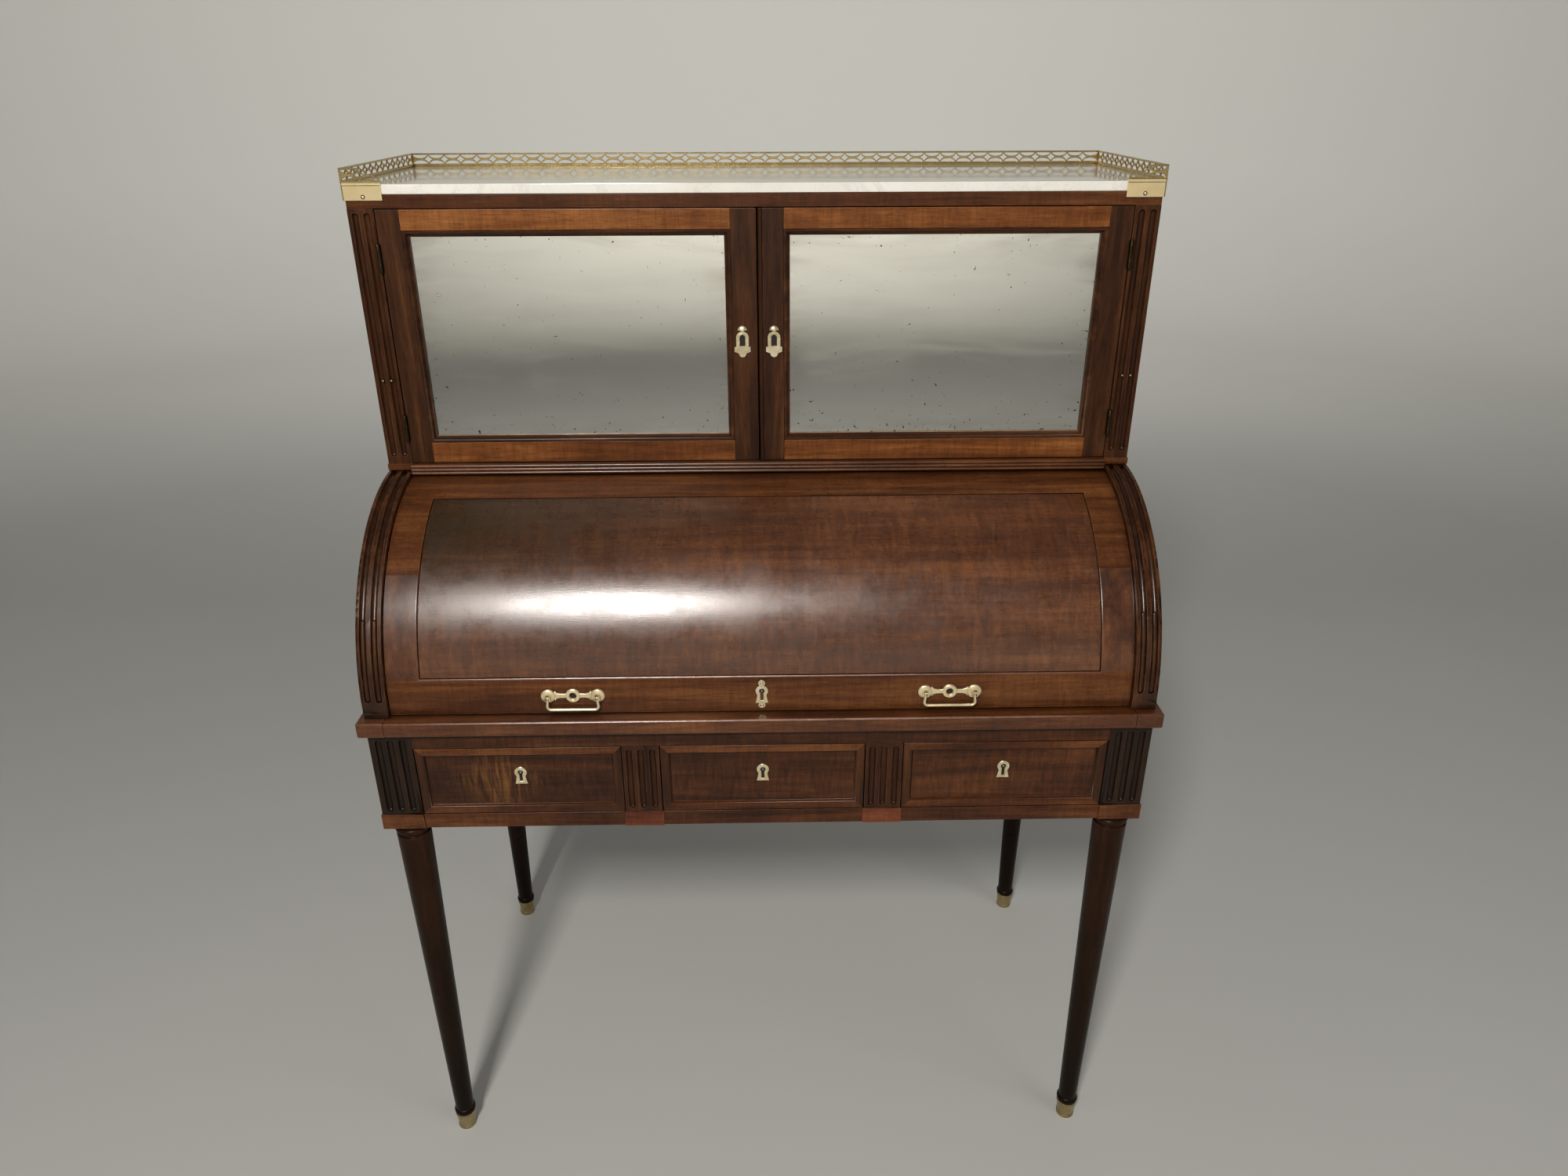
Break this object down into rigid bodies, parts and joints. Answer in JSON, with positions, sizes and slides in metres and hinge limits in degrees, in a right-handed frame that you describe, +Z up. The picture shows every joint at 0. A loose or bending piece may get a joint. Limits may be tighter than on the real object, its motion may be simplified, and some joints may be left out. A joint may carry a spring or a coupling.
{
  "type": "cylinder desk",
  "caption": "Cylinder desk on turned legs: frieze drawers, pull-out writing slide, rolling cylinder lid, mirrored upper cabinet, marble top with a pierced gallery.",
  "frame": {"origin": "middle of the bounding box on the floor under the feet", "axes": "+Z up; the front with its drawers faces -Y; +X is the right-hand side seen from the front"},
  "size_m": [1.023, 0.547, 1.4014],
  "materials": {
    "mahogany": "dark reddish-brown mahogany, french polished, worn and lightly scratched",
    "oak": "plain unpolished oak for backs, drawer boxes and runners",
    "brass": "aged gilt brass",
    "steel": "dull steel lock bolts",
    "mirror": "old silvered plate glass with dark spots",
    "marble": "polished cream-white marble with faint grey veins",
    "leather": "brown writing leather with a tooled border"
  },
  "bodies": {
    "case": {"front_legs": "mahogany", "rear_legs": "mahogany", "foot_shoes": "brass", "frieze_sides": "mahogany", "frieze_back": "oak", "front_rails": "mahogany", "drawer_dividers": "mahogany", "drawer_partitions": "oak", "drawer_runners": "oak", "bed_ends": "mahogany", "bed_rear_board": "mahogany", "left_case_side": "mahogany", "right_case_side": "mahogany", "case_back": "oak", "case_top": "mahogany", "sill_moulding": "mahogany", "gradin_left_side": "mahogany", "gradin_right_side": "mahogany", "gradin_top": "mahogany", "gradin_back": "oak", "gradin_shelf": "mahogany", "fixed_hinge_leaves": "brass", "marble_top": "marble", "gallery": "brass", "nest_carcass": "mahogany"},
    "cylinder": {"cylinder_shell": "mahogany", "cylinder_arms": "mahogany", "handle_backplates": "brass", "cylinder_lock": "brass"},
    "cylinder_bolt": {"cylinder_bolt": "steel"},
    "left_bail": {"left_bail": "brass"},
    "right_bail": {"right_bail": "brass"},
    "writing_slide": {"writing_slide": "mahogany", "slide_leather": "leather"},
    "left_drawer": {"left_drawer_front": "mahogany", "left_drawer_box": "oak", "left_drawer_lock": "brass"},
    "left_drawer_bolt": {"left_drawer_bolt": "steel"},
    "middle_drawer": {"middle_drawer_front": "mahogany", "middle_drawer_box": "oak", "middle_drawer_lock": "brass"},
    "middle_drawer_bolt": {"middle_drawer_bolt": "steel"},
    "right_drawer": {"right_drawer_front": "mahogany", "right_drawer_box": "oak", "right_drawer_lock": "brass"},
    "right_drawer_bolt": {"right_drawer_bolt": "steel"},
    "left_door": {"left_door_frame": "mahogany", "left_mirror": "mirror", "left_door_back": "oak", "left_hinge_leaves": "brass", "left_door_escutcheon": "brass"},
    "right_door": {"right_door_frame": "mahogany", "right_mirror": "mirror", "right_door_back": "oak", "right_hinge_leaves": "brass", "right_door_lock": "brass"},
    "right_door_bolt": {"right_door_bolt": "steel"},
    "left_nest_drawer": {"left_nest_drawer": "mahogany"},
    "middle_nest_drawer": {"middle_nest_drawer": "mahogany"},
    "right_nest_drawer": {"right_nest_drawer": "mahogany"}
  },
  "joints": [
    {"name": "cylinder_roll", "type": "hinge", "parent": "case", "child": "cylinder", "pos_m": [0, -0.017, 0.774], "axis": [-1, 0, 0], "range_deg": [0, 66]},
    {"name": "cylinder_bolt_throw", "type": "slide", "parent": "cylinder", "child": "cylinder_bolt", "axis": [0, 0, -1], "range_m": [0, 0.007]},
    {"name": "left_bail_swing", "type": "hinge", "parent": "cylinder", "child": "left_bail", "pos_m": [-0.2386, -0.26044, 0.793], "axis": [-1, 0, 0], "range_deg": [-8, 95]},
    {"name": "right_bail_swing", "type": "hinge", "parent": "cylinder", "child": "right_bail", "pos_m": [0.2386, -0.26044, 0.793], "axis": [-1, 0, 0], "range_deg": [-8, 95]},
    {"name": "writing_slide_pull", "type": "slide", "parent": "case", "child": "writing_slide", "axis": [0, -1, 0], "range_m": [0, 0.25]},
    {"name": "left_drawer_pull", "type": "slide", "parent": "case", "child": "left_drawer", "axis": [0, -1, 0], "range_m": [0, 0.28]},
    {"name": "left_drawer_bolt_throw", "type": "slide", "parent": "left_drawer", "child": "left_drawer_bolt", "axis": [0, 0, 1], "range_m": [0, 0.007]},
    {"name": "middle_drawer_pull", "type": "slide", "parent": "case", "child": "middle_drawer", "axis": [0, -1, 0], "range_m": [0, 0.28]},
    {"name": "middle_drawer_bolt_throw", "type": "slide", "parent": "middle_drawer", "child": "middle_drawer_bolt", "axis": [0, 0, 1], "range_m": [0, 0.007]},
    {"name": "right_drawer_pull", "type": "slide", "parent": "case", "child": "right_drawer", "axis": [0, -1, 0], "range_m": [0, 0.28]},
    {"name": "right_drawer_bolt_throw", "type": "slide", "parent": "right_drawer", "child": "right_drawer_bolt", "axis": [0, 0, 1], "range_m": [0, 0.007]},
    {"name": "left_door_swing", "type": "hinge", "parent": "case", "child": "left_door", "pos_m": [-0.471, -0.0324, 1.19], "axis": [0, 0, -1], "range_deg": [0, 105]},
    {"name": "right_door_swing", "type": "hinge", "parent": "case", "child": "right_door", "pos_m": [0.471, -0.0324, 1.19], "axis": [0, 0, 1], "range_deg": [0, 105]},
    {"name": "right_door_bolt_throw", "type": "slide", "parent": "right_door", "child": "right_door_bolt", "axis": [-1, 0, 0], "range_m": [0, 0.007]},
    {"name": "left_nest_drawer_pull", "type": "slide", "parent": "case", "child": "left_nest_drawer", "axis": [0, -1, 0], "range_m": [0, 0.085]},
    {"name": "middle_nest_drawer_pull", "type": "slide", "parent": "case", "child": "middle_nest_drawer", "axis": [0, -1, 0], "range_m": [0, 0.085]},
    {"name": "right_nest_drawer_pull", "type": "slide", "parent": "case", "child": "right_nest_drawer", "axis": [0, -1, 0], "range_m": [0, 0.085]}
  ]
}
